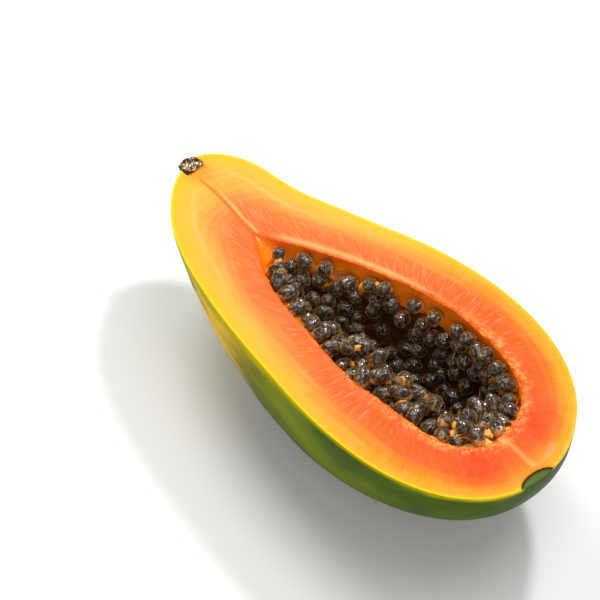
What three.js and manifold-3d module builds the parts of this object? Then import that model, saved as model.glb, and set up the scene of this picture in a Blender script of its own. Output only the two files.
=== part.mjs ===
// Half of a ripe papaya, cut lengthwise a little off centre and lying on its skin with the cut face up.
// Skin and flesh grew as one piece and are one solid. The woody stub of the stalk sits in a socket at the
// stem end, and the seeds line the wall of the hollow, each one a piece of its own.
// Millimetres, +Z up, +X from the stem end to the blossom end. The origin is below the middle of the half,
// on the surface that it lies on.
import * as THREE from "three";
import { mergeVertices } from "three/addons/utils/BufferGeometryUtils.js";
import Module from "manifold-3d";

const wasm = await Module();
wasm.setup();

// Driving dimensions. A list holds values at even steps of the way from one end to the other.
const fruit = {
  stemX: -3, // the stem end, along the axis that the lists are measured on
  tipX: 208.5, // the blossom end
  leftHalf: [0, 11, 21, 26, 36.3, 47.5, 52.2, 49, 38, 20.5, 0], // axis to the cut face's edge, +Y side
  rightHalf: [0, 15.4, 27.3, 34.8, 41.3, 45.2, 47.3, 44.3, 35, 20, 0], // the same, -Y side
  depth: [0, 13.5, 25.5, 37.5, 52, 60.9, 60.6, 52.5, 39.5, 21, 0], // cut face to the deepest skin
  bellyShift: [0, -1, -2, 0, 4, 7, 5, 1, -2, -2, 0], // how far the belly hangs over to the -Y side
  sectionPower: 2.15, // 2 is an elliptical section, and more is a fuller one
  stemSkew: 0.33, // the stem end is set askew: the +Y shoulder reaches further back
  skewReach: 45,
  restingFlat: 1.1, // how much of the belly the half's own weight has pressed flat
};
const hollow = {
  tipX: 47, // the pointed end, towards the stem
  endX: 185, // the round end, towards the blossom
  leftRim: [-4, 9, 19, 25.8, 30, 30.6, 28.8, 25, 19, 10.5, -1], // y of the rim on the +Y side
  rightRim: [-4, -15, -19.3, -22, -22.8, -21, -19.8, -17.3, -13.5, -7.5, -1], // y of the rim on the -Y side
  depth: [0, 12.5, 22, 29.5, 34, 35.5, 34, 30, 23.5, 13.5, 0],
  sectionPower: 2.3,
  columnPower: 1.6, // spaces the wall's columns so that the cut face's triangles don't slant
};
const stub = {
  outerX: -5.5,
  innerX: 7,
  y: 0.6,
  socketGap: 0.35,
  shares: [0, 0.12, 0.4, 0.62, 0.86, 1], // of the length, from the outer end to the inner one
  radii: [3.84, 4.8, 4.42, 5.4, 4.59, 2.16], // at those shares, with a collar before the inner end
};
const seeds = {
  most: 50,
  tries: 900, // places looked at, one after another
  spacing: 8.9, // least distance between two seeds' middles
  halfLength: 4.1,
  halfWidth: 3.15,
  eggShape: 0.12, // how much thicker the end towards the open hollow is
  smallest: 0.92, // of the size above
  sizeRange: 0.16,
  mostLean: 0.7, // off the wall's own direction
  wallGap: 0.45,
  leftEdge: 0.27, // angle below the +Y rim without seeds
  rightEdge: 0.12, // the same on the -Y side
  firstShare: 0.09, // share of the hollow where the seeds begin
  lastShare: 0.93,
};
const grid = { along: 54, skinAcross: 26, hollowAcross: 16, stubAround: 20, seedAround: 8, seedAlong: 6 };
const weld = 1e-3; // points closer than this are one
const noArea = 1e-4;

// A smooth curve through evenly spaced values, as a function of a share from 0 to 1.
function through(values) {
  const last = values.length - 1;
  const before = 2 * values[0] - values[1];
  const after = 2 * values[last] - values[last - 1];
  const at = (i) => (i < 0 ? before : i > last ? after : values[i]);
  return (share) => {
    const i = Math.min(Math.floor(share * last), last - 1);
    const f = share * last - i;
    const [a, b, c, d] = [at(i - 1), at(i), at(i + 1), at(i + 2)];
    const bend = 2 * a - 5 * b + 4 * c - d + f * (3 * (b - c) + d - a);
    return b + 0.5 * f * (c - a + f * bend);
  };
}

const signedPower = (value, power) => Math.sign(value) * Math.abs(value) ** power;

const fruitLeft = through(fruit.leftHalf);
const fruitRight = through(fruit.rightHalf);
const fruitDepth = through(fruit.depth);
const fruitShift = through(fruit.bellyShift);
const deepest = Math.max(...Array.from({ length: 401 }, (_, i) => fruitDepth(i / 400)));
const faceHeight = deepest - fruit.restingFlat; // cut face above the surface that the half lies on

// A point of the skin: share runs from the stem end to the blossom end, and angle from the cut face's
// +Y edge, 0, under the belly to its -Y edge, pi.
function skinPoint(share, angle) {
  const left = fruitLeft(share);
  const right = fruitRight(share);
  const power = 2 / fruit.sectionPower;
  const across = (left - right) / 2 + ((left + right) / 2) * signedPower(Math.cos(angle), power);
  const y = across - fruitShift(share) * Math.sin(angle);
  const straightX = fruit.stemX + ((fruit.tipX - fruit.stemX) * (1 - Math.cos(Math.PI * share))) / 2;
  const fade = Math.max(0, 1 - (straightX - fruit.stemX) / fruit.skewReach);
  const x = straightX - fruit.stemSkew * fade * y;
  const down = fruitDepth(share) * Math.max(0, Math.sin(angle)) ** power;
  return new THREE.Vector3(x, y, Math.max(0, faceHeight - down));
}

const hollowLeft = through(hollow.leftRim);
const hollowRight = through(hollow.rightRim);
const hollowDepth = through(hollow.depth);

// A point of the hollow's wall, with share and angle as in skinPoint. The stem end is pointed and the
// blossom end is round.
function wallPoint(share, angle) {
  const left = hollowLeft(share);
  const right = hollowRight(share);
  const power = 2 / hollow.sectionPower;
  const x = hollow.tipX + (hollow.endX - hollow.tipX) * Math.sin((Math.PI / 2) * share);
  const y = (left + right) / 2 + ((left - right) / 2) * signedPower(Math.cos(angle), power);
  const down = hollowDepth(share) * Math.max(0, Math.sin(angle)) ** power;
  return new THREE.Vector3(x, y, faceHeight - down);
}

// Direction out of the wall into the open hollow.
function wallNormal(share, angle) {
  const step = 0.004;
  const along = wallPoint(share + step, angle).sub(wallPoint(share - step, angle));
  const across = wallPoint(share, angle + step).sub(wallPoint(share, angle - step));
  return across.cross(along).normalize();
}

// Collects triangles and leaves out the ones without area, as at a pole.
class Faces {
  corners = [];

  triangle(a, b, c) {
    const area = b.clone().sub(a).cross(c.clone().sub(a)).length();
    if (area > noArea) this.corners.push(...a.toArray(), ...b.toArray(), ...c.toArray());
  }

  quad(a, b, c, d) {
    this.triangle(a, b, c);
    this.triangle(a, c, d);
  }

  geometry() {
    const positions = new THREE.Float32BufferAttribute(this.corners, 3);
    return mergeVertices(new THREE.BufferGeometry().setAttribute("position", positions), weld);
  }
}

// Skin, hollow and the flat cut face between them, closed into one surface.
function fruitSurface() {
  const faces = new Faces();
  const hollowShare = (share) => share ** hollow.columnPower;
  for (let i = 0; i < grid.along; i++) {
    const [s0, s1] = [i / grid.along, (i + 1) / grid.along];
    const [h0, h1] = [hollowShare(s0), hollowShare(s1)];
    for (let j = 0; j < grid.skinAcross; j++) {
      const [a0, a1] = [j, j + 1].map((n) => (Math.PI * n) / grid.skinAcross);
      faces.quad(skinPoint(s0, a0), skinPoint(s1, a0), skinPoint(s1, a1), skinPoint(s0, a1));
    }
    for (let j = 0; j < grid.hollowAcross; j++) {
      const [a0, a1] = [j, j + 1].map((n) => (Math.PI * n) / grid.hollowAcross);
      faces.quad(wallPoint(h0, a0), wallPoint(h0, a1), wallPoint(h1, a1), wallPoint(h1, a0));
    }
    faces.quad(skinPoint(s0, 0), wallPoint(h0, 0), wallPoint(h1, 0), skinPoint(s1, 0));
    const [edge0, edge1] = [skinPoint(s0, Math.PI), skinPoint(s1, Math.PI)];
    faces.quad(edge0, edge1, wallPoint(h1, Math.PI), wallPoint(h0, Math.PI));
  }
  return faces.geometry();
}

// A three.js geometry as a manifold-3d solid, and back.
function solidFrom(geometry) {
  const bare = geometry.clone();
  bare.deleteAttribute("normal");
  bare.deleteAttribute("uv");
  const merged = mergeVertices(bare, weld);
  return new wasm.Manifold(
    new wasm.Mesh({
      numProp: 3,
      vertProperties: new Float32Array(merged.attributes.position.array),
      triVerts: new Uint32Array(merged.index.array),
    }),
  );
}

function geometryFrom(solid) {
  const mesh = solid.getMesh();
  const geometry = new THREE.BufferGeometry();
  geometry.setAttribute("position", new THREE.BufferAttribute(mesh.vertProperties, 3));
  geometry.setIndex(new THREE.BufferAttribute(mesh.triVerts, 1));
  geometry.computeVertexNormals();
  return geometry;
}

// The stalk's stub as a turned shape along X, cut flat by the same knife cut as the fruit. With extra it
// is the socket that the stub sits in.
function stubSolid(extra) {
  const length = stub.innerX - stub.outerX;
  const outline = stub.radii.map((radius, i) => {
    const x = stub.outerX + length * stub.shares[i];
    return new THREE.Vector2(radius + extra, x);
  });
  outline[0].y -= extra;
  outline[outline.length - 1].y += extra;
  const outerPole = new THREE.Vector2(0, outline[0].y);
  const innerPole = new THREE.Vector2(0, outline[outline.length - 1].y);
  const turned = new THREE.LatheGeometry([outerPole, ...outline, innerPole], grid.stubAround);
  turned.rotateZ(-Math.PI / 2); // the lathe's axis, +Y, becomes +X
  turned.translate(0, stub.y, faceHeight);
  const size = 4 * Math.max(...stub.radii) + length;
  const below = new THREE.BoxGeometry(size, size, size);
  const above = extra ? 1 : 0; // the socket is open at the cut face
  below.translate((stub.outerX + stub.innerX) / 2, stub.y, faceHeight - size / 2 + above);
  return solidFrom(turned).intersect(solidFrom(below));
}

// An egg-shaped seed with its length along X, thicker at its +X end.
function seedGeometry(length, width) {
  const egg = new THREE.SphereGeometry(1, grid.seedAround, grid.seedAlong);
  const position = egg.attributes.position;
  for (let i = 0; i < position.count; i++) {
    const x = position.getX(i);
    const thickness = width * (1 + seeds.eggShape * x);
    position.setXYZ(i, x * length, position.getY(i) * thickness, position.getZ(i) * thickness);
  }
  return egg;
}

// The same number between 0 and 1 each time for the same seed and use.
function chance(seed, use) {
  const mixed = Math.sin(seed * 12.9898 + use * 78.233) * 43758.5453;
  return mixed - Math.floor(mixed);
}

// A place on the wall for each number, spread evenly over share and angle.
function wallPlace(number) {
  const plastic = 1.3247179572; // two sequences by powers of this ratio never fall into step
  const along = (0.5 + number / plastic) % 1;
  const round = (0.5 + number / plastic ** 2) % 1;
  const angleSpan = Math.PI - seeds.leftEdge - seeds.rightEdge;
  return {
    share: seeds.firstShare + (seeds.lastShare - seeds.firstShare) * along,
    angle: seeds.leftEdge + angleSpan * round,
  };
}

// A seed on the wall, leaning a little off the wall's own direction.
function seedAt(number) {
  const { share, angle } = wallPlace(number);
  const normal = wallNormal(share, angle);
  const lean = new THREE.Vector3(chance(number, 1) - 0.5, chance(number, 2) - 0.5, 0.2).normalize();
  const pointing = normal.clone().addScaledVector(lean, seeds.mostLean * chance(number, 3)).normalize();
  const size = seeds.smallest + seeds.sizeRange * chance(number, 4);
  const length = seeds.halfLength * size;
  const width = seeds.halfWidth * size;
  const cosine = pointing.dot(normal);
  const thickest = width * (1 + seeds.eggShape);
  const reach = Math.hypot(length * cosine, thickest * Math.sqrt(1 - cosine * cosine));
  const seed = new THREE.Mesh(seedGeometry(length, width), seedMaterial);
  seed.quaternion.setFromUnitVectors(new THREE.Vector3(1, 0, 0), pointing);
  seed.position.copy(wallPoint(share, angle)).addScaledVector(normal, reach + seeds.wallGap);
  return seed;
}

// Seeds at the first places that are clear of the ones already there.
function allSeeds() {
  const placed = [];
  for (let number = 1; number <= seeds.tries && placed.length < seeds.most; number++) {
    const seed = seedAt(number);
    const clear = placed.every((other) => other.position.distanceTo(seed.position) > seeds.spacing);
    if (!clear) continue;
    placed.push(seed);
    seed.name = `seed_${String(placed.length).padStart(2, "0")}`;
  }
  return placed;
}

const fleshMaterial = new THREE.MeshStandardMaterial({ color: 0xf98a3a, roughness: 0.4, metalness: 0 });
const stubMaterial = new THREE.MeshStandardMaterial({ color: 0x6b5236, roughness: 0.85, metalness: 0 });
const seedMaterial = new THREE.MeshStandardMaterial({ color: 0x2a241c, roughness: 0.2, metalness: 0 });

const papayaHalf = new THREE.Group();

const fruitHalf = new THREE.Mesh(
  geometryFrom(solidFrom(fruitSurface()).subtract(stubSolid(stub.socketGap))),
  fleshMaterial,
);
fruitHalf.name = "fruit_half";
papayaHalf.add(fruitHalf);

const stemStub = new THREE.Mesh(geometryFrom(stubSolid(0)), stubMaterial);
stemStub.name = "stem_stub";
papayaHalf.add(stemStub);

papayaHalf.add(...allSeeds());

// The origin is under the middle of the whole half.
const middle = new THREE.Box3().setFromObject(papayaHalf, true).getCenter(new THREE.Vector3());
papayaHalf.position.set(-middle.x, -middle.y, 0);

export default papayaHalf;
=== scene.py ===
# Half of a ripe papaya with its seeds, lying on its skin with the cut face up.
# Metres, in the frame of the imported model: +X to the blossom end, +Z up out of the cut face.
import math
import random

import bmesh
import bpy
import numpy as np
from mathutils import Matrix, Vector, noise


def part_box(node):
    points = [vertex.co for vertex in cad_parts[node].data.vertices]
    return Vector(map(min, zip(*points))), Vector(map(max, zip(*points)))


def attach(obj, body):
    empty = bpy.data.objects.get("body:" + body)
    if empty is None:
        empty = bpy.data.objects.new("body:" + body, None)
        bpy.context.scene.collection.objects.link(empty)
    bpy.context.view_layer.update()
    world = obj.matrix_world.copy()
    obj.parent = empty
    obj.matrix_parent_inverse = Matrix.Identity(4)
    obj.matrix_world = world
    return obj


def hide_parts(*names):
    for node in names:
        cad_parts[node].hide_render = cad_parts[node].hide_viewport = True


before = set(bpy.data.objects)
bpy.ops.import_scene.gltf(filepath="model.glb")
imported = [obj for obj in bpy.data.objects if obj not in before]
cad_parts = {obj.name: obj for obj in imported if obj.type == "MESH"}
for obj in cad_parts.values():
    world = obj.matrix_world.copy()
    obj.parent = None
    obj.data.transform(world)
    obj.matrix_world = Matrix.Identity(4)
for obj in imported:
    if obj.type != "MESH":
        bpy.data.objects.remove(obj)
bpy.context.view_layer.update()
fruitLow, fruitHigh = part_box("fruit_half")
mm = 0.001
faceZ = fruitHigh.z / mm  # cut face above the floor, in mm like all the shapes below


def curveThrough(values):  # smooth curve through evenly spaced values, read at shares from 0 to 1
    points = np.array([2 * values[0] - values[1], *values, 2 * values[-1] - values[-2]], float)
    last = len(values) - 1

    def at(share):
        place = np.clip(share, 0, 1) * last
        i = np.minimum(np.floor(place).astype(int), last - 1)
        f = place - i
        a, b, c, d = (points[i + k] for k in range(4))
        return b + 0.5 * f * (c - a + f * (2 * a - 5 * b + 4 * c - d + f * (3 * (b - c) + d - a)))

    return at


def smooth(low, high, value):  # 0 below low, 1 above high
    t = np.clip((np.asarray(value, float) - low) / (high - low), 0, 1)
    return t * t * (3 - 2 * t)


def bump(value, middle, width):
    return np.exp(-(((value - middle) / width) ** 2))


def signedPower(value, power):
    return np.sign(value) * np.abs(value) ** power


def srgb(red, green, blue):  # screen colour, 0 to 255, as the linear colour that the nodes take
    def one(c):
        c /= 255
        return c / 12.92 if c <= 0.04045 else ((c + 0.055) / 1.055) ** 2.4

    return (one(red), one(green), one(blue), 1.0)


def noiseAt(points, scale, seed=0.0, detail=3):  # fractal noise, about -1 to 1, at an array of points
    shift = Vector((seed * 7.3, seed * 3.1, seed * 5.7))
    return np.array([noise.fractal(Vector(p) * scale + shift, 0.8, 2.0, detail) for p in points])


def meshObject(name, verts, faces, materials, faceSlots=None, attributes=None):
    mesh = bpy.data.meshes.new(name)
    mesh.from_pydata((np.asarray(verts) * mm).tolist(), [], faces)
    mesh.update()
    for material in materials:
        mesh.materials.append(material)
    if faceSlots is not None:
        mesh.polygons.foreach_set("material_index", np.asarray(faceSlots, np.int32))
    mesh.polygons.foreach_set("use_smooth", [True] * len(mesh.polygons))
    for key, values in (attributes or {}).items():
        layer = mesh.attributes.new(key, "FLOAT", "POINT")
        layer.data.foreach_set("value", np.asarray(values, np.float32))
    made = bpy.data.objects.new(name, mesh)
    bpy.context.collection.objects.link(made)
    return made


# Camera, light and floor
view = {
    "aim": (85.9, -12.6, 0.0),  # mm from the stem end's middle, on the cut face
    "place": (435.6, -311.3, 548.0),
    "lens": 108,
    "sensor": 36,
}
lights = {
    "key": {"place": (-420, 120, 620), "size": 0.3, "watts": 2.1},
    "top": {"place": (120, 160, 820), "size": 0.5, "watts": 1.85},
    "glint": {"place": (-60, 330, 560), "size": 0.07, "watts": 1.9},
    "front": {"place": (420, -560, 420), "size": 0.6, "watts": 1.7},
}
lightAim = (0, 0, 50)
worldStrength = 0.3
# The lists below hold values at even steps of the way from the stem end to the blossom end.
fruit = {
    "stemX": -3,
    "tipX": 208.5,
    "leftHalf": [0, 11, 21, 26, 36.3, 47.5, 52.2, 49, 38, 20.5, 0],
    "rightHalf": [0, 15.4, 27.3, 34.8, 41.3, 45.2, 47.3, 44.3, 35, 20, 0],
    "depth": [0, 13.5, 25.5, 37.5, 52, 60.9, 60.6, 52.5, 39.5, 21, 0],
    "bellyShift": [0, -1, -2, 0, 4, 7, 5, 1, -2, -2, 0],
    "sectionPower": 2.15,
    "stemSkew": 0.33,
    "skewReach": 45,
    "columns": 330,
    "skinRows": 84,
    "faceRows": 34,
    "wallRows": 52,
}
hollow = {
    "tipX": 47,
    "endX": 185,
    "leftRim": [-4, 9, 19, 25.8, 30, 30.6, 28.8, 25, 19, 10.5, -1],
    "rightRim": [-4, -15, -19.3, -22, -22.8, -21, -19.8, -17.3, -13.5, -7.5, -1],
    "depth": [0, 12.5, 22, 29.5, 34, 35.5, 34, 30, 23.5, 13.5, 0],
    "sectionPower": 2.3,
    "columnPower": 1.6,
}
fruitKeys = ("leftHalf", "rightHalf", "depth", "bellyShift")
fruitCurves = [curveThrough(fruit[key]) for key in fruitKeys]
hollowCurves = [curveThrough(hollow[key]) for key in ("leftRim", "rightRim", "depth")]


# The skin from the +Y edge, angle 0, under the belly to the -Y edge, pi
def skinPoints(share, angle):
    left, right, depth, shift = (curve(share) for curve in fruitCurves)
    power = 2 / fruit["sectionPower"]
    sine = np.maximum(np.sin(angle), 0)
    y = (left - right) / 2 + (left + right) / 2 * signedPower(np.cos(angle), power) - shift * sine
    straight = fruit["stemX"] + (fruit["tipX"] - fruit["stemX"]) * (1 - np.cos(np.pi * share)) / 2
    fade = np.maximum(0, 1 - (straight - fruit["stemX"]) / fruit["skewReach"])
    z = np.maximum(0, faceZ - depth * sine**power)
    return np.stack([straight - fruit["stemSkew"] * fade * y, y, z], -1)


def wallPoints(share, angle):  # the hollow's wall, with share and angle as in skinPoints
    left, right, depth = (curve(share) for curve in hollowCurves)
    power = 2 / hollow["sectionPower"]
    x = hollow["tipX"] + (hollow["endX"] - hollow["tipX"]) * np.sin(np.pi / 2 * share)
    y = (left + right) / 2 + (left - right) / 2 * signedPower(np.cos(angle), power)
    z = faceZ - depth * np.maximum(np.sin(angle), 0) ** power
    return np.stack([x + 0 * angle, y, z], -1)


def wallNormals(share, angle):  # out of the wall into the open hollow
    step = 0.004
    along = wallPoints(share + step, angle) - wallPoints(share - step, angle)
    across = wallPoints(share, angle + step) - wallPoints(share, angle - step)
    normal = np.cross(across, along)
    return normal / np.maximum(np.linalg.norm(normal, axis=-1, keepdims=True), 1e-9)


span = np.linspace(0, 1, 400)
leftEdge = np.zeros(len(span))
rightEdge = leftEdge + np.pi
outline = np.concatenate([skinPoints(span, leftEdge), skinPoints(span, rightEdge)])
rimLine = np.concatenate([wallPoints(span, leftEdge), wallPoints(span, rightEdge)])
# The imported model's origin, seen from the place that the shapes above are measured from.
offset = np.array([
    fruitHigh.x / mm - fruit["tipX"],
    (fruitLow.y + fruitHigh.y) / 2 / mm - (outline[:, 1].min() + outline[:, 1].max()) / 2,
    0,
])


def inFrame(points):
    return np.asarray(points, float) + offset


def makeCamera():
    data = bpy.data.cameras.new("camera")
    data.lens = view["lens"]
    data.sensor_width = view["sensor"]
    camera = bpy.data.objects.new("camera", data)
    bpy.context.collection.objects.link(camera)
    place = Vector(inFrame(view["place"]) + (0, 0, faceZ)) * mm
    aim = Vector(inFrame(view["aim"]) + (0, 0, faceZ)) * mm
    camera.location = place
    camera.rotation_euler = (aim - place).to_track_quat("-Z", "Y").to_euler()
    bpy.context.scene.camera = camera


def makeLights():
    for name, light in lights.items():
        data = bpy.data.lights.new(name, "AREA")
        data.shape = "DISK"
        data.size = light["size"]
        data.energy = light["watts"]
        lamp = bpy.data.objects.new(name, data)
        bpy.context.collection.objects.link(lamp)
        lamp.location = Vector(light["place"]) * mm
        ahead = Vector(lightAim) * mm - lamp.location
        lamp.rotation_euler = ahead.to_track_quat("-Z", "Y").to_euler()
    world = bpy.data.worlds.new("studio")
    world.use_nodes = True
    background = world.node_tree.nodes["Background"]
    background.inputs["Color"].default_value = (1, 0.99, 0.98, 1)
    background.inputs["Strength"].default_value = worldStrength
    bpy.context.scene.world = world
    bpy.context.scene.view_settings.view_transform = "Standard"


makeCamera()
makeLights()
print("camera and lights made")


# Shader helpers
class Nodes:  # adds and links the nodes of one material or group
    def __init__(self, tree):
        self.tree = tree

    def add(self, kind, inputs=None, **settings):
        node = self.tree.nodes.new(kind)
        for key, value in settings.items():
            setattr(node, key, value)
        for key, value in (inputs or {}).items():
            self.feed(node.inputs[key], value)
        return node

    def feed(self, socket, value):
        if isinstance(value, bpy.types.NodeSocket):
            self.tree.links.new(value, socket)
        else:
            socket.default_value = value

    def attribute(self, name):
        return self.add("ShaderNodeAttribute", attribute_name=name).outputs["Fac"]

    def math(self, operation, first, second=0.0):
        return self.add("ShaderNodeMath", {0: first, 1: second}, operation=operation).outputs[0]

    def scaled(self, value, factor):
        return self.math("MULTIPLY", value, factor)

    def masked(self, name, weight):
        return self.scaled(self.attribute(name), weight)

    def centred(self, value, reach):  # a noise about 0 instead of 0.5, times reach
        return self.scaled(self.math("SUBTRACT", value, 0.5), reach)

    def range(self, value, low, high, toLow=0.0, toHigh=1.0):
        node = self.add("ShaderNodeMapRange", {0: value, 1: low, 2: high, 3: toLow, 4: toHigh})
        node.interpolation_type = "SMOOTHSTEP"
        return node.outputs[0]

    def mix(self, amount, first, second):
        node = self.add("ShaderNodeMix", data_type="RGBA")
        for index, value in ((0, amount), (6, first), (7, second)):
            self.feed(node.inputs[index], value)
        return node.outputs[2]

    def ramp(self, amount, stops):
        node = self.add("ShaderNodeValToRGB", {0: amount})
        elements = node.color_ramp.elements
        while len(elements) < len(stops):
            elements.new(0.5)
        for element, (place, colour) in zip(elements, stops):
            element.position = place
            element.color = colour
        return node.outputs[0]

    def place(self, stretch=(1, 1, 1)):
        return self.stretched(self.add("ShaderNodeTexCoord").outputs["Object"], stretch)

    def stretched(self, vector, stretch):
        return self.add("ShaderNodeMapping", {"Vector": vector, "Scale": stretch}).outputs[0]

    def noise(self, vector, scale, detail=3.0, roughness=0.55, distortion=0.0):
        values = {"Vector": vector, "Scale": scale, "Detail": detail}
        values.update({"Roughness": roughness, "Distortion": distortion})
        return self.add("ShaderNodeTexNoise", values).outputs["Fac"]

    def cells(self, vector, scale, feature="F1", output="Distance"):
        values = {"Vector": vector, "Scale": scale}
        return self.add("ShaderNodeTexVoronoi", values, feature=feature).outputs[output]


def newMaterial(name):
    material = bpy.data.materials.new(name)
    material.use_nodes = True
    return material, Nodes(material.node_tree), material.node_tree.nodes["Principled BSDF"]


def setInputs(shader, **values):
    for key, value in values.items():
        shader.inputs[key.replace("_", " ")].default_value = value


def bumpInto(nodes, shader, height, strength, distance):
    values = {"Height": height, "Strength": strength, "Distance": distance}
    made = nodes.add("ShaderNodeBump", values)
    nodes.tree.links.new(made.outputs[0], shader.inputs["Normal"])


# Wet droplets and fine pores, used on the flesh, the hollow's wall and the pulp
def wetGrainGroup():
    tree = bpy.data.node_groups.new("wetGrain", "ShaderNodeTree")
    for name, side in (("Scale", "INPUT"), ("Coarse", "INPUT"), ("Height", "OUTPUT")):
        tree.interface.new_socket(name, in_out=side, socket_type="NodeSocketFloat")
    nodes = Nodes(tree)
    inside = nodes.add("NodeGroupInput")
    place = nodes.place()
    fine = nodes.noise(place, inside.outputs["Scale"], 3)
    lumps = nodes.noise(place, nodes.math("MULTIPLY", inside.outputs["Scale"], 0.27), 4, 0.6)
    node = nodes.add("ShaderNodeMix", data_type="FLOAT")
    for index, value in ((0, inside.outputs["Coarse"]), (2, fine), (3, lumps)):
        nodes.feed(node.inputs[index], value)
    nodes.add("NodeGroupOutput", {"Height": node.outputs[0]})
    return tree


wetGrain = wetGrainGroup()


def wetGrainHeight(nodes, scale, coarse):
    node = nodes.add("ShaderNodeGroup", node_tree=wetGrain)
    node.inputs["Scale"].default_value = scale
    node.inputs["Coarse"].default_value = coarse
    return node.outputs["Height"]


fleshLook = {
    "paleStops": [
        (0.0, srgb(252, 180, 22)),
        (0.16, srgb(252, 176, 58)),
        (0.36, srgb(252, 158, 62)),
        (0.58, srgb(249, 114, 44)),
        (0.85, srgb(249, 102, 32)),
        (1.0, srgb(247, 90, 16)),
    ],
    "deepStops": [
        (0.0, srgb(253, 166, 8)),
        (0.14, srgb(253, 158, 26)),
        (0.32, srgb(251, 126, 12)),
        (0.52, srgb(249, 92, 8)),
        (0.82, srgb(248, 84, 8)),
        (1.0, srgb(249, 98, 16)),
    ],
    "rimYellow": srgb(244, 204, 0),
    "patch": srgb(246, 58, 0),
    "fibre": srgb(255, 178, 122),
    "vein": srgb(243, 108, 6),
    # pale colour of the vessel ring and the crease ridge, also used as painted highlight on the ridge
    # beside the vein and along the wet far rim
    "ridgeAndHighlight": srgb(253, 188, 112),
    "spongy": srgb(255, 170, 72),
    "wall": srgb(255, 130, 12),
    "wallDeep": srgb(244, 92, 4),
    "flapGreen": srgb(84, 104, 22),
    "flapEdge": srgb(66, 34, 14),
    "patchWeight": 0.8,
    "fibreWeight": 0.55,
    "ridgeAndHighlightWeight": 0.72,
    "veinWeight": 0.85,
    "spongyWeight": 0.75,
    "wetShine": 0.54,  # how much less rough the wettest places are
}


def fleshMaterial():
    material, nodes, shader = newMaterial("papayaFlesh")
    look = fleshLook
    across = nodes.attribute("across")
    toRim = nodes.attribute("acrossMm")
    grain = nodes.add("ShaderNodeCombineXYZ", {0: nodes.attribute("alongRim"), 1: toRim}).outputs[0]
    fibres = nodes.noise(nodes.stretched(grain, (1.0, 0.13, 1)), 1.0, 5, 0.65, 0.6)
    bands = nodes.noise(nodes.stretched(grain, (0.03, 0.42, 1)), 1.0, 3, 0.5)
    clouds = nodes.noise(nodes.place(), 55, 3)
    moved = across
    for pattern, reach in ((bands, 0.36), (clouds, 0.2), (fibres, 0.3)):
        moved = nodes.math("ADD", moved, nodes.centred(pattern, reach))
    pale = nodes.ramp(moved, look["paleStops"])
    deep = nodes.ramp(moved, look["deepStops"])
    base = nodes.mix(nodes.attribute("ripeness"), pale, deep)
    base = nodes.mix(nodes.masked("patch", look["patchWeight"]), base, look["patch"])
    streaks = nodes.math("MULTIPLY", nodes.range(fibres, 0.44, 0.74), nodes.attribute("fibreMask"))
    base = nodes.mix(nodes.scaled(streaks, look["fibreWeight"]), base, look["fibre"])
    # pale lines in the flesh's own colour, and painted highlights on the vein's ridge and the far rim
    base = nodes.mix(nodes.masked("ridgeAndHighlight", look["ridgeAndHighlightWeight"]), base, look["ridgeAndHighlight"])
    base = nodes.mix(nodes.masked("vein", look["veinWeight"]), base, look["vein"])
    holes = nodes.range(nodes.noise(nodes.place(), 420, 4, 0.7), 0.43, 0.62)
    sponge = nodes.math("MULTIPLY", nodes.attribute("spongy"), holes)
    base = nodes.mix(nodes.scaled(sponge, look["spongyWeight"]), base, look["spongy"])
    base = nodes.mix(nodes.attribute("rimGlow"), base, look["rimYellow"])
    wall = nodes.mix(nodes.attribute("wallDepth"), look["wall"], look["wallDeep"])
    base = nodes.mix(nodes.attribute("wall"), base, wall)

    flapGap = nodes.attribute("flapGap")  # mm inside the flap's outline
    base = nodes.mix(nodes.range(flapGap, 0.15, 0.5), base, look["flapGreen"])
    inner, outer = nodes.range(flapGap, -0.25, 0.1), nodes.range(flapGap, 0.3, 0.75, 1, 0)
    flapLine = nodes.math("MULTIPLY", inner, outer)
    flapLine = nodes.math("MULTIPLY", flapLine, nodes.range(toRim, 13.5, 15.5))
    base = nodes.mix(flapLine, base, look["flapEdge"])
    nodes.feed(shader.inputs["Base Color"], base)

    dry = nodes.range(nodes.noise(nodes.place(), 240, 2), 0.35, 0.65, 0.6, 0.78)
    rough = nodes.math("SUBTRACT", dry, nodes.masked("wet", look["wetShine"]))
    nodes.feed(shader.inputs["Roughness"], rough)
    grainWeight = nodes.math("ADD", 0.25, nodes.masked("wet", 1.3))
    fine = nodes.math("MULTIPLY", wetGrainHeight(nodes, 700, 0.55), grainWeight)
    fibreWeight = nodes.math("ADD", 0.5, nodes.attribute("fibreMask"))
    height = nodes.math("ADD", nodes.math("MULTIPLY", fibres, fibreWeight), fine)
    bumpInto(nodes, shader, height, 0.5, 0.001)
    setInputs(shader, Subsurface_Weight=0.22, Subsurface_Scale=0.004, Subsurface_Radius=(1, 0.36, 0.1))
    setInputs(shader, Coat_Weight=0.02, Coat_Roughness=0.12, Specular_IOR_Level=0.22)
    return material


skinLook = {
    "green": srgb(72, 98, 7),
    "darkGreen": srgb(34, 50, 2),
    "yellowGreen": srgb(148, 158, 8),
    "paleStreak": srgb(206, 212, 98),
    "ochre": srgb(250, 198, 0),
    "edgeYellow": srgb(232, 208, 0),
    "speckle": srgb(150, 164, 50),
    "ochreWeight": 0.95,
    # how strongly the lower skin is darkened as painted shade
    "underShadeWeight": 0.8,
    "speckleWeight": 0.28,
}


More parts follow.
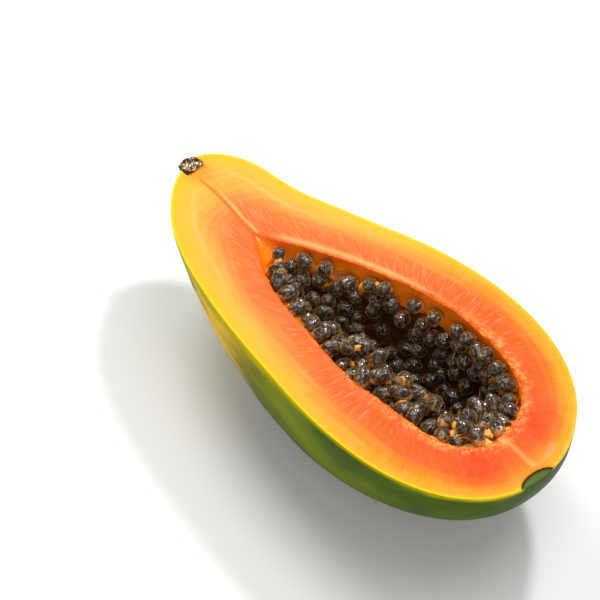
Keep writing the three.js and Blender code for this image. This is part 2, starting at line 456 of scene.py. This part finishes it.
def skinMaterial():
    material, nodes, shader = newMaterial("papayaSkin")
    look = skinLook
    streaks = nodes.noise(nodes.place((0.09, 1, 1)), 150, 4, 0.6, 0.3)
    blotches = nodes.noise(nodes.place((0.5, 1, 1)), 28, 3)
    greens = [(0.26, look["darkGreen"]), (0.46, look["green"]), (0.74, look["yellowGreen"])]
    base = nodes.ramp(blotches, greens)
    paleStreaks = nodes.range(streaks, 0.36, 0.78, 0, 0.85)
    paleMask = nodes.math("MULTIPLY", paleStreaks, nodes.attribute("stemward"))
    base = nodes.mix(paleMask, base, look["paleStreak"])
    ochreMask = nodes.math("MULTIPLY", nodes.attribute("blush"), nodes.range(streaks, 0.3, 0.62))
    base = nodes.mix(nodes.scaled(ochreMask, look["ochreWeight"]), base, look["ochre"])
    # painted shade: the skin darker green low down on the belly
    base = nodes.mix(nodes.masked("under", look["underShadeWeight"]), base, look["darkGreen"])
    dots = nodes.range(nodes.cells(nodes.place(), 620), 0.05, 0.22, 1, 0)
    base = nodes.mix(nodes.scaled(dots, look["speckleWeight"]), base, look["speckle"])
    base = nodes.mix(nodes.attribute("edgeGlow"), base, look["edgeYellow"])
    nodes.feed(shader.inputs["Base Color"], base)
    nodes.feed(shader.inputs["Roughness"], nodes.range(blotches, 0.3, 0.7, 0.38, 0.52))
    bumpInto(nodes, shader, nodes.math("ADD", nodes.scaled(dots, 0.4), streaks), 0.22, 0.0005)
    setInputs(shader, Specular_IOR_Level=0.05)
    return material


# The fruit: skin, flat cut face and hollow as one closed mesh
relief = {
    "veinX": [6, 18, 28, 37, 48],
    "veinY": [-1.6, -1.4, -2.2, -3.5, -4],
    "creaseX": [181, 185, 190, 195, 204],
    "creaseY": [-4.8, -2.1, -0.7, -0.6, -1.6],
    "flapY": -1.6,
    "flapHalf": 8.0,
    "flapWidth": 4.3,
    "ringInset": 9.5,  # the ring of vessels that shows as a faint line near the stem
    "socketY": 0.6,
    "lipWidth": 1.6,
    "lipDrop": 0.9,
}


def nearest(points, line):  # distance in plan from each point to the nearest point of the line
    found = np.full(len(points), 1e9)
    for start in range(0, len(points), 2000):
        gap = points[start:start + 2000, None, :2] - line[None, :, :2]
        found[start:start + 2000] = np.sqrt((gap**2).sum(-1)).min(1)
    return found


def fruitGrid():
    columns = np.linspace(0, 1, fruit["columns"] + 1)[:, None]
    hollowColumns = columns ** hollow["columnPower"]
    skinAngle = np.linspace(0, np.pi, fruit["skinRows"] + 1)[None, :]
    wallAngle = np.linspace(np.pi, 0, fruit["wallRows"] + 1)[None, :]
    skin = skinPoints(columns, skinAngle)
    wall = wallPoints(hollowColumns, wallAngle)
    across = ((1 - np.cos(np.pi * np.linspace(0, 1, fruit["faceRows"] + 1))) / 2)[None, 1:-1, None]
    right = skin[:, -1:] * (1 - across) + wall[:, :1] * across
    left = wall[:, -1:] * (1 - across) + skin[:, :1] * across
    return columns, skin, right, wall, left


def makeFruit():
    columns, skin, right, wall, left = fruitGrid()
    grid = np.concatenate([skin, right, wall, left], axis=1)
    rows = grid.shape[1]
    zone = np.repeat([0, 1, 2, 3], [part.shape[1] for part in (skin, right, wall, left)])
    points = grid.reshape(-1, 3).copy()
    zones = np.tile(zone, len(columns))
    onFace = (zones == 1) | (zones == 3)
    onWall = zones == 2
    onSkin = zones == 0
    x, y = points[:, 0].copy(), points[:, 1].copy()
    edge, rim = nearest(points, outline), nearest(points, rimLine)
    below = faceZ - points[:, 2]
    soft = noiseAt(points, 0.045, 1)
    small = noiseAt(points, 0.3, 2, 4)

    # relief of the cut face
    veinGap = y - np.interp(x, relief["veinX"], relief["veinY"])
    veinOn = smooth(5, 9, x) * (1 - smooth(45, 49, x)) * (onFace | onWall)
    vein = bump(veinGap, 0, 0.7) * veinOn
    fromStub = np.hypot(x - 4, (y - relief["socketY"]) * 1.3)
    stalkGlow = (1 - smooth(2, 13, fromStub + soft)) * onFace
    # a low ridge beside the vein, raised a little and coloured pale as a painted highlight
    ridgeAndHighlight = bump(veinGap, 1.6, 0.75) * veinOn * smooth(14, 30, x)
    creaseGap = y - np.interp(x, relief["creaseX"], relief["creaseY"])
    creaseOn = smooth(182, 187, x) * (1 - smooth(200, 205, x)) * onFace
    crease = bump(creaseGap, 0, 0.8) * creaseOn
    creaseRidge = bump(creaseGap, 1.8, 1.1) * creaseOn
    flapAcross = (y - relief["flapY"]) / relief["flapHalf"]
    flapReach = relief["flapWidth"] * np.maximum(0, 1 - flapAcross**2) ** 0.6 + 0.15 * soft
    flapGap = flapReach * smooth(185, 192, x) - edge - 0.3
    onFlap = onFace * smooth(-0.5, 0.9, flapGap)
    besideStub = smooth(4.0, 5.0, np.abs(y - relief["socketY"]))
    socket = onFace * (1 - smooth(2.2, 4.0, x)) * (1 - besideStub)
    spongy = onFace * smooth(100, 170, x) * (1 - smooth(1.5, 6.5 + 2 * soft, rim))
    spongy = np.maximum(spongy, onFace * (1 - smooth(0.6, 2.2, rim)) * smooth(60, 100, x) * 0.6)
    lip = np.clip(1 - rim / relief["lipWidth"], 0, 1) ** 2
    drop = relief["lipDrop"] * lip - 0.22 * soft * smooth(0, 6, edge) - 0.9 * spongy * np.maximum(small, 0)
    drop = drop + 0.45 * vein - 0.2 * ridgeAndHighlight + 0.35 * crease - 0.15 * creaseRidge
    drop = drop + 1.3 * onFlap + 1.6 * socket
    drop = drop + 0.12 * np.clip(1 - edge / 0.8, 0, 1)
    points[:, 2] -= np.where(onFace, drop, 0)

    # the torn, lumpy wall, and the rim that wanders with it
    wander = (0.7 * soft + 0.45 * small) * smooth(50, 75, x)
    inward = np.where(y > -1, -1.0, 1.0)
    pull = wander * (1 - smooth(0, 3, rim)) * onFace + wander * onWall
    pull = np.clip(pull, -1.0, 1.4) * smooth(3, 12, edge)
    points[:, 1] += np.where(onFace | onWall, inward * pull, 0)
    points[:, 2] -= np.where(onWall, relief["lipDrop"] * np.exp(-below / 0.8), 0)
    skinDent = 0.35 * noiseAt(points, 0.03, 5) * smooth(2, 9, below) * smooth(1, 8, points[:, 2])
    points[:, 1] += np.where(onSkin, skinDent * np.sign(y), 0)

    # masks for the materials
    nearSide = (y < 0).astype(float)
    across = edge / np.maximum(edge + rim, 1e-6) - 0.07 * nearSide * (1 - smooth(90, 150, x))
    ring = bump(edge, relief["ringInset"], 0.7) * smooth(9, 15, x) * (1 - smooth(34, 70, x)) * onFace
    nearFlap = smooth(195, 199, x) * (1 - smooth(0.75, 1.05, np.abs(flapAcross)))
    # painted highlight: a pale wet line along the far rim of the hollow, in the pale ridge colour
    wetHighlightReach = smooth(48, 60, x) * (1 - smooth(95, 130, x)) * onFace * (1 - nearSide)
    wetHighlightLine = bump(rim, 1.9, 1.3) * wetHighlightReach * 0.9
    faceSteps = np.diff(left[:, left.shape[1] // 2], axis=0)
    alongRim = np.repeat(np.cumsum(np.r_[0, np.linalg.norm(faceSteps, axis=1)]), rows)
    patches = np.maximum(bump(x, 187, 11) * bump(y, 15, 8), bump(x, 190, 10) * bump(y, -14, 7.5))
    fibreReach = smooth(0.25, 0.6, across) * (1 - 0.7 * smooth(120, 175, x)) * smooth(0.5, 4, rim)
    rimWeight = (0.9 - (0.2 + 0.35 * smooth(90, 170, x)) * (1 - nearSide)) * (1 - nearFlap)
    blushReach = bump(x, 64, 24) * smooth(0, 5, below + 2 * soft) * (1 - smooth(36, 56, below))
    edgeReach = 4.4 - 2.0 * smooth(90, 140, x) + 1.2 * soft
    masks = {
        "across": across,
        "acrossMm": rim,
        "alongRim": alongRim,
        "ripeness": smooth(70, 165, x + 0.35 * y),
        "patch": patches * onFace,
        "fibreMask": fibreReach * onFace,
        "vein": np.maximum(np.maximum(vein, 0.85 * crease), 0.55 * stalkGlow),
        # the ring and the crease ridge are the flesh's own pale lines; the vein's ridge and the wet rim
        # line are painted highlight
        "ridgeAndHighlight": np.clip(ridgeAndHighlight + 0.95 * ring + 0.6 * creaseRidge + wetHighlightLine, 0, 1),
        "spongy": spongy,
        "rimGlow": onFace * (1 - smooth(0.2, 1.7, edge)) * rimWeight,
        "wall": onWall * smooth(0.0, 1.0, below),
        "wallDepth": smooth(6, 26, below),
        "wet": np.where(onFace, np.maximum(np.maximum(0.12, spongy), 1 - smooth(1.0, 4.0, rim)), 1.0),
        "flapGap": flapGap,
        "stemward": onSkin * (1 - smooth(45, 95, x)),
        "blush": onSkin * blushReach * (0.35 + 0.65 * nearSide),
        # painted shade: darker skin towards the belly, from the middle to the blossom end
        "under": onSkin * smooth(12, 44, below) * smooth(60, 100, x),
        "edgeGlow": onSkin * (1 - smooth(0.5, edgeReach, below)) * (1 - nearFlap),
    }

    # faces between neighbouring rows and columns; points that meet at the ends become one
    keys = np.round(points[:, :3], 4)
    _, firsts, merged = np.unique(keys, axis=0, return_index=True, return_inverse=True)
    merged = merged.reshape(-1)
    faces, slots = [], []
    for i in range(len(columns) - 1):
        for j in range(rows):
            k = (j + 1) % rows
            corners = [i * rows + j, (i + 1) * rows + j, (i + 1) * rows + k, i * rows + k]
            ids = list(dict.fromkeys(int(merged[c]) for c in corners))
            if len(ids) < 3:
                continue
            faces.append(ids)
            slots.append(0 if zone[j] == 0 and zone[k] == 0 else 1)
    materials = [skinMaterial(), fleshMaterial()]
    masks = {key: values[firsts] for key, values in masks.items()}
    made = meshObject("papaya_half", inFrame(points[firsts]), faces, materials, slots, masks)
    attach(made, "root")
    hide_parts("fruit_half")
    print("fruit made:", len(faces), "faces, at", [round(v, 2) for v in offset])


makeFruit()


# Seeds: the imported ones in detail, and the others that the hollow holds between and over them
seedShape = {
    "halfLength": 4.85,
    "halfWidth": 3.2,
    "eggShape": 0.1,
    "kinds": 7,
    "rimRow": 24,
    "wrinkle": 0.16,
    "gap": 5.7,  # least distance between two seeds' middles, so that they press on each other
    "layerStep": 5.6,
    "highest": 2.2,  # how far a seed's middle may be above the cut face, less its own size
}
seedLook = {
    "dark": srgb(12, 9, 6),
    "brown": srgb(76, 54, 28),
    "grey": srgb(158, 136, 96),
    "aril": srgb(196, 112, 30),
    "arilPale": srgb(236, 178, 96),
}


def seedMaterial():
    material, nodes, shader = newMaterial("wetSeed")
    look = seedLook
    place = nodes.place()
    mottle = nodes.noise(place, 520, 4, 0.62)
    base = nodes.ramp(mottle, [(0.42, look["dark"]), (0.56, look["brown"]), (0.7, look["grey"])])
    # painted shade: seeds lying deeper in the hollow are darker and show less aril
    deep = nodes.range(nodes.attribute("depth"), 6, 26)
    base = nodes.mix(nodes.scaled(deep, 0.55), base, look["dark"])
    arilColour = nodes.mix(nodes.noise(place, 260, 2), look["aril"], look["arilPale"])
    edge = nodes.math("ADD", nodes.attribute("aril"), nodes.centred(mottle, 0.9))
    shown = nodes.math("SUBTRACT", 0.9, nodes.scaled(deep, 0.45))
    arilMask = nodes.math("MULTIPLY", nodes.range(edge, 0.35, 0.62), shown)
    nodes.feed(shader.inputs["Base Color"], nodes.mix(arilMask, base, arilColour))
    nodes.feed(shader.inputs["Roughness"], nodes.range(mottle, 0.35, 0.65, 0.2, 0.42))
    bumpInto(nodes, shader, nodes.math("ADD", mottle, nodes.noise(place, 1500, 2)), 0.5, 0.0006)
    setInputs(shader, Coat_Weight=1.0, Coat_Roughness=0.035, Specular_IOR_Level=0.3)
    setInputs(shader, Sheen_Weight=0.9, Sheen_Roughness=0.36, Sheen_Tint=(1, 0.56, 0.2, 1))
    return material


def seedKinds():  # a few wrinkled seeds of length 2 along X, to be sized and turned
    kinds = []
    for kind in range(seedShape["kinds"]):
        form = bmesh.new()
        bmesh.ops.create_icosphere(form, subdivisions=4, radius=1)
        verts = np.array([v.co[:] for v in form.verts])
        faces = [[v.index for v in f.verts] for f in form.faces]
        form.free()
        along = verts * np.array([0.55, 1, 1])
        ridges = 1 - 2 * np.abs(noiseAt(along, 2.5, 11 + kind, 2))
        lumps = noiseAt(verts, 1.1, 31 + kind, 2)
        dent = seedShape["wrinkle"] * (ridges - 0.6) + 0.1 * lumps
        kinds.append((verts * (1 + dent)[:, None], verts, faces))
    return kinds


def placedByCad():  # middle, long axis and size of each packed seed
    found = []
    for name, node in sorted(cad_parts.items()):
        if not name.startswith("seed_"):
            continue
        verts = np.array([v.co[:] for v in node.data.vertices]) / mm
        middle = (verts.max(0) + verts.min(0)) / 2
        _, spread, axes = np.linalg.svd(verts - verts.mean(0), full_matrices=False)
        found.append({"name": name, "middle": middle, "axis": axes[0], "size": 1.0})
    return found


def seedAt(middle, axis, size):
    return {"name": None, "middle": middle, "axis": axis / np.linalg.norm(axis), "size": size}


def pile(low, high, share, angle):  # layers of seeds here, more on the near side and at the end
    near = smooth(0.5, 0.85, angle / np.pi)
    end = smooth(0.6, 0.9, share)
    return low + (high - low) * max(near * smooth(0.12, 0.4, share), end)


def moreSeeds(placed, dice):
    middles = [seed["middle"] for seed in placed]
    made = []
    for step in range(seedShape["rimRow"]):  # a row close under the far rim, with gaps here and there
        share = 0.07 + 0.89 * (step + dice.uniform(-0.2, 0.2)) / seedShape["rimRow"]
        angle = 0.13 - 0.07 * smooth(0.3, 0.55, share) + dice.uniform(-0.02, 0.05)
        normal = wallNormals(np.array(share), np.array(angle))
        middle = inFrame(wallPoints(np.array(share), np.array(angle)) + normal * dice.uniform(3.2, 4.4))
        if dice.random() < 0.12 or np.linalg.norm(np.array(middles) - middle, axis=1).min() < 4.2:
            continue
        axis = np.array(Vector(normal) + Vector((dice.gauss(0, 0.5), 0, dice.uniform(0.2, 1.1))))
        middles.append(middle)
        made.append(seedAt(middle, axis, dice.uniform(0.86, 1.0)))
    for layer in range(3):
        tries = 5200 if layer == 0 else 1800
        for _ in range(tries):
            share = dice.uniform(0.05, 0.965)
            angle = dice.uniform(0.08, np.pi - 0.06)
            bare = 0.2 - 0.09 * smooth(0.2, 0.6, share)  # the far side's wall is bare below the rim
            if angle < bare or layer > pile(0.3, 2.6, share, angle):
                continue
            lift = 4.1 + seedShape["layerStep"] * layer + dice.uniform(-0.3, 0.5)
            normal = wallNormals(np.array(share), np.array(angle))
            middle = inFrame(wallPoints(np.array(share), np.array(angle)) + normal * lift)
            if middle[2] > faceZ - 2.6 + seedShape["highest"] or middle[0] < inFrame([56, 0, 0])[0]:
                continue
            gaps = np.linalg.norm(np.array(middles) - middle, axis=1)
            if gaps.min() < seedShape["gap"] + dice.uniform(-0.3, 0.4):
                continue
            lean = Vector((dice.gauss(0, 1), dice.gauss(0, 1), dice.gauss(0, 0.7))).normalized()
            axis = np.array(Vector(normal) + lean * (0.75 if layer == 0 else 1.6))
            middles.append(middle)
            made.append(seedAt(middle, axis, dice.uniform(0.88, 1.06)))
    return made


def buildSeed(seed, kinds, dice):  # its points, the aril mask and the faces
    shape, plain, faces = dice.choice(kinds)
    axis = Vector(seed["axis"])
    centre = Vector(inFrame((120, -1, faceZ + 6)))
    if axis.dot(centre - Vector(seed["middle"])) < 0:
        axis = -axis
    turn = axis.to_track_quat("X", "Z").to_matrix() @ spin(dice.uniform(0, 6.28))
    halves = [seedShape["halfLength"], seedShape["halfWidth"], seedShape["halfWidth"]]
    scale = np.array(halves) * seed["size"]
    scale[1] *= dice.uniform(0.9, 1.03)
    egg = 1 + seedShape["eggShape"] * shape[:, :1]
    local = shape * scale * np.concatenate([np.ones_like(egg), egg, egg], 1)
    points = local @ np.array(turn).T + seed["middle"]
    rise = points[:, 2] - seed["middle"][2]
    aril = 0.26 - 0.48 * plain[:, 0] - 0.07 * rise + 0.12 * dice.uniform(-1, 1)
    return points, aril, faces


def spin(angle):
    return Matrix.Rotation(angle, 3, "X")


def makeSeeds():
    dice = random.Random(7)
    kinds = seedKinds()
    placed = placedByCad()
    seeds = placed + moreSeeds(placed, dice)
    material = seedMaterial()
    bounds = [-1e9, *inFrame([[90, 0, 0], [118, 0, 0], [146, 0, 0]])[:, 0], 1e9]
    names = ["seeds_stemward", "seeds_middle", "seeds_belly", "seeds_blossom"]
    for name, low, high in zip(names, bounds, bounds[1:]):
        chosen = [seed for seed in seeds if low <= seed["middle"][0] < high]
        points, aril, faces, start = [], [], [], 0
        for seed in chosen:
            verts, mask, own = buildSeed(seed, kinds, dice)
            points.append(verts)
            aril.append(mask)
            faces += [[start + n for n in face] for face in own]
            start += len(verts)
        points = np.concatenate(points)
        made = meshObject(name, points, faces, [material], None,
                          {"aril": np.concatenate(aril), "depth": faceZ - points[:, 2]})
        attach(made, "root")
        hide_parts(*[seed["name"] for seed in chosen if seed["name"]])
        print(name, len(chosen), "seeds", len(faces), "faces")
    return seeds


allSeeds = makeSeeds()


# Pulp: the brown jelly that the seeds sit in, and the torn threads between them
pulpLook = {
    # the darkest brown is painted shade for the pulp deep in the hollow
    "deep": srgb(62, 30, 4),
    "amber": srgb(150, 80, 16),
    "gold": srgb(226, 138, 40),
    "pale": srgb(250, 184, 96),
}
pulp = {
    "columns": 110,
    "rows": 64,
    "thickest": 4.0,
    "sunk": 1.6,
    "underside": 2.2,  # how far below the wall the bed's hidden side lies
    "lumps": 1.6,
    "bitShare": 0.2,
    "threadShare": 0.24,
}


def pulpMaterial():
    material, nodes, shader = newMaterial("wetPulp")
    look = pulpLook
    place = nodes.place()
    mottle = nodes.noise(place, 230, 4, 0.6)
    # painted shade: the pulp darker the deeper it lies below the cut face, paler near it
    height = nodes.range(nodes.attribute("depth"), 0, 15, 1, 0)
    level = nodes.math("ADD", height, nodes.centred(mottle, 0.7))
    browns = [(0.08, look["deep"]), (0.38, look["amber"]), (0.72, look["gold"]), (1.0, look["pale"])]
    base = nodes.ramp(level, browns)
    nodes.feed(shader.inputs["Base Color"], base)
    nodes.feed(shader.inputs["Roughness"], nodes.range(mottle, 0.3, 0.7, 0.2, 0.5))
    bumpInto(nodes, shader, wetGrainHeight(nodes, 1100, 0.6), 0.5, 0.0008)
    setInputs(shader, Subsurface_Weight=0.25, Subsurface_Scale=0.002, Subsurface_Radius=(1, 0.5, 0.15))
    setInputs(shader, Coat_Weight=0.05, Coat_Roughness=0.05, Specular_IOR_Level=0.06)
    return material


def makeBed(material):
    share = np.linspace(0.07, 0.985, pulp["columns"])[:, None]
    angle = np.linspace(0.12, np.pi - 0.05, pulp["rows"])[None, :]
    base, normal = wallPoints(share, angle), wallNormals(share, angle)
    flat = base.reshape(-1, 3)
    lumps = noiseAt(flat, 0.16, 21, 3).reshape(base.shape[:2])
    bare = 0.36 - 0.2 * smooth(0.35, 0.8, share)
    nearEdge = np.pi - (0.32 - 0.12 * smooth(0.5, 0.7, share))
    cover = smooth(bare - 0.08, bare + 0.2, angle + 0.1 * lumps)
    cover = cover * smooth(0.05, 0.16, share + 0.02 * lumps)
    cover = cover * (1 - smooth(0.962, 0.985, share))
    cover = cover * (1 - smooth(nearEdge, nearEdge + 0.13, angle + 0.04 * lumps))
    lift = -pulp["sunk"] + (pulp["thickest"] + pulp["sunk"]) * cover + pulp["lumps"] * lumps * cover
    top = (base + normal * lift[..., None]).reshape(-1, 3)
    under = (base - normal * pulp["underside"]).reshape(-1, 3)
    columns, rows = base.shape[:2]
    count = columns * rows
    faces = []
    for i in range(columns - 1):
        for j in range(rows - 1):
            a, b = i * rows + j, (i + 1) * rows + j
            c, d = b + 1, a + 1
            faces += [(a, d, c, b), (count + a, count + b, count + c, count + d)]
    border = list(range(rows)) + [i * rows + rows - 1 for i in range(1, columns)]
    border += [(columns - 1) * rows + j for j in range(rows - 2, -1, -1)]
    border += [i * rows for i in range(columns - 2, 0, -1)]
    for a, b in zip(border, border[1:] + border[:1]):
        faces.append((a, count + a, count + b, b)[::-1])
    points = inFrame(np.concatenate([top, under]))
    made = meshObject("pulp_bed", points, faces, [material], None, {"depth": faceZ - points[:, 2]})
    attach(made, "root")


def strand(start, end, thick, dice):  # a bent thread, thick near its ends and thin in the middle
    sides, steps = 8, 9
    ahead = (end - start).normalized()
    side = ahead.orthogonal().normalized()
    other = ahead.cross(side)
    bend = side * dice.uniform(-0.9, 0.9) + other * dice.uniform(-0.9, 0.9)
    points = [start]
    for i in range(1, steps):
        t = i / steps
        waist = 0.42 + 0.58 * abs(2 * t - 1) ** 1.5
        radius = thick * waist * min(1, 6 * t, 6 * (1 - t)) * dice.uniform(0.75, 1.2)
        middle = start.lerp(end, t) + bend * math.sin(math.pi * t)
        for k in range(sides):
            a = 2 * math.pi * k / sides
            points.append(middle + (side * math.cos(a) + other * math.sin(a) * 0.7) * radius)
    points.append(end)
    last = len(points) - 1
    faces = [(0, 1 + (k + 1) % sides, 1 + k) for k in range(sides)]
    for i in range(steps - 2):
        for k in range(sides):
            a, b = 1 + i * sides + k, 1 + i * sides + (k + 1) % sides
            faces.append((a, b, b + sides, a + sides))
    tail = 1 + (steps - 2) * sides
    faces += [(last, tail + k, tail + (k + 1) % sides) for k in range(sides)]
    return points, faces


def tornBit(middle, reach, form, dice):  # a small lump of pulp, stretched, bent and rough
    verts, faces = form
    turn = Matrix.Rotation(dice.uniform(0, 6.28), 3, (dice.gauss(0, 1), dice.gauss(0, 1), 2.0))
    shift = dice.uniform(0, 90)
    points = []
    for vert in verts:
        rough = 1 + 0.75 * noise.fractal(vert * 1.3 + Vector((shift, 0, 0)), 0.8, 2.0, 3)
        local = Vector((vert.x * reach[0], vert.y * reach[1], vert.z * reach[2])) * rough
        local.z -= 0.12 * local.x**2
        points.append(turn @ local + middle)
    return points, faces


def makeThreads(material):
    dice = random.Random(19)
    ball = bmesh.new()
    bmesh.ops.create_icosphere(ball, subdivisions=3, radius=1)
    form = [v.co.copy() for v in ball.verts], [[v.index for v in f.verts] for f in ball.faces]
    ball.free()
    middles = [Vector(seed["middle"]) for seed in allSeeds]
    points, faces = [], []

    def keep(verts, own):
        faces.extend([[len(points) + n for n in face] for face in own])
        points.extend(verts)

    for i, first in enumerate(middles):
        for second in middles[i + 1:]:
            gap = (second - first).length
            if not 5.0 < gap < 9.5:
                continue
            draw = dice.random()
            if draw < pulp["bitShare"]:
                middle = first.lerp(second, dice.uniform(0.4, 0.6))
                middle = middle + Vector((0, 0, dice.uniform(-0.8, 1.3)))
                reach = (dice.uniform(2.0, 3.6), dice.uniform(1.0, 1.8), dice.uniform(0.7, 1.3))
                keep(*tornBit(middle, reach, form, dice))
            elif draw < pulp["threadShare"]:
                up = Vector((0, 0, dice.uniform(-0.6, 1.6)))
                start, end = first.lerp(second, 0.1) + up, first.lerp(second, 0.9) + up
                keep(*strand(start, end, dice.uniform(0.4, 0.9), dice))
    points = np.array([p[:] for p in points])
    points[:, 2] = np.minimum(points[:, 2], faceZ + 2.5)
    made = meshObject("pulp_threads", points, faces, [material], None, {"depth": faceZ - points[:, 2]})
    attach(made, "root")
    print("pulp made:", len(faces), "faces of threads and torn bits")


pulpFinish = pulpMaterial()
makeBed(pulpFinish)
makeThreads(pulpFinish)


# Stub of the stalk: fibrous wood, broken into dark and pale blocks, with its flat side cut by the knife
stub = {"rings": 72, "around": 72, "block": 0.3, "rough": 0.45, "proud": 0.3, "short": 4.6, "slim": 0.9}
stubLook = {
    "black": srgb(36, 24, 18),
    "brown": srgb(124, 78, 46),
    "tan": srgb(190, 138, 84),
    "cream": srgb(244, 214, 170),
}


def stubMaterial():
    material, nodes, shader = newMaterial("dryStalk")
    look = stubLook
    blocks = nodes.cells(nodes.place((1, 1, 0.7)), 620, output="Color")
    grey = nodes.add("ShaderNodeRGBToBW", {0: blocks}).outputs[0]
    gaps = nodes.cells(nodes.place((1, 1, 0.7)), 560, "DISTANCE_TO_EDGE")
    woods = [(0.24, look["black"]), (0.38, look["brown"]), (0.5, look["tan"]), (0.62, look["cream"])]
    base = nodes.ramp(grey, woods)
    base = nodes.mix(nodes.range(gaps, 0.02, 0.14, 0.9, 0), base, look["black"])
    nodes.feed(shader.inputs["Base Color"], base)
    nodes.feed(shader.inputs["Roughness"], nodes.range(grey, 0.2, 0.8, 0.6, 0.85))
    bumpInto(nodes, shader, nodes.range(gaps, 0, 0.2), 0.8, 0.0008)
    return material


def makeStub():
    low, high = (np.array(corner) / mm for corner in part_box("stem_stub"))
    high[0] -= stub["short"]
    share = np.linspace(0, 1, stub["rings"] + 1)[:, None]
    angle = np.linspace(0, np.pi, stub["around"] + 1)[None, :]
    profile = curveThrough([0.0, 0.86, 0.92, 0.9, 0.97, 1.0, 0.82, 0.0])(share)
    reach = (high - low) / 2
    x = low[0] + (high[0] - low[0]) * (share ** 0.9) + 0 * angle
    y = (low[1] + high[1]) / 2 + reach[1] * stub["slim"] * profile * np.cos(angle)
    z = high[2] + stub["proud"] - (high[2] - low[2]) * profile * np.sin(angle)
    barrel = np.stack([x, y, z], -1)
    lid = np.linspace(0, 1, 24)[None, 1:-1, None]
    cut = barrel[:, -1:] * (1 - lid) + barrel[:, :1] * lid
    grid = np.concatenate([barrel, cut], 1)
    points = grid.reshape(-1, 3)
    middle = (low + high) / 2
    blocks = np.array([noise.cell(Vector(p) * 0.62) for p in points])
    rough = noiseAt(points, 0.9, 3, 3)
    away = points - np.array([0, middle[1], high[2] - 1.5])
    away[:, 0] = 0
    away = away / np.maximum(np.linalg.norm(away, axis=1, keepdims=True), 1e-6)
    width = np.repeat(profile[:, 0], grid.shape[1])[:, None]
    coarse = (stub["block"] * blocks + stub["rough"] * rough)[:, None]
    points = points + away * coarse * np.minimum(width * 2, 1)
    rows = grid.shape[1]
    _, firsts, merged = np.unique(np.round(points, 4), axis=0, return_index=True, return_inverse=True)
    merged = merged.reshape(-1)
    faces = []
    for i in range(stub["rings"]):
        for j in range(rows):
            k = (j + 1) % rows
            corners = (i * rows + j, (i + 1) * rows + j, (i + 1) * rows + k, i * rows + k)
            ids = list(dict.fromkeys(int(merged[corner]) for corner in corners))
            if len(ids) > 2:
                faces.append(ids)
    made = meshObject("stalk_stub", points[firsts], faces, [stubMaterial()])
    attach(made, "root")
    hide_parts("stem_stub")
    print("stub made:", len(faces), "faces")


makeStub()


def makeFloor():
    material, nodes, shader = newMaterial("paleFloor")
    setInputs(shader, Base_Color=(0.92, 0.92, 0.915, 1), Roughness=0.85)
    half = 2500
    corners = [(-half, -half, 0), (half, -half, 0), (half, half, 0), (-half, half, 0)]
    meshObject("floor", corners, [(0, 1, 2, 3)], [material])


makeFloor()
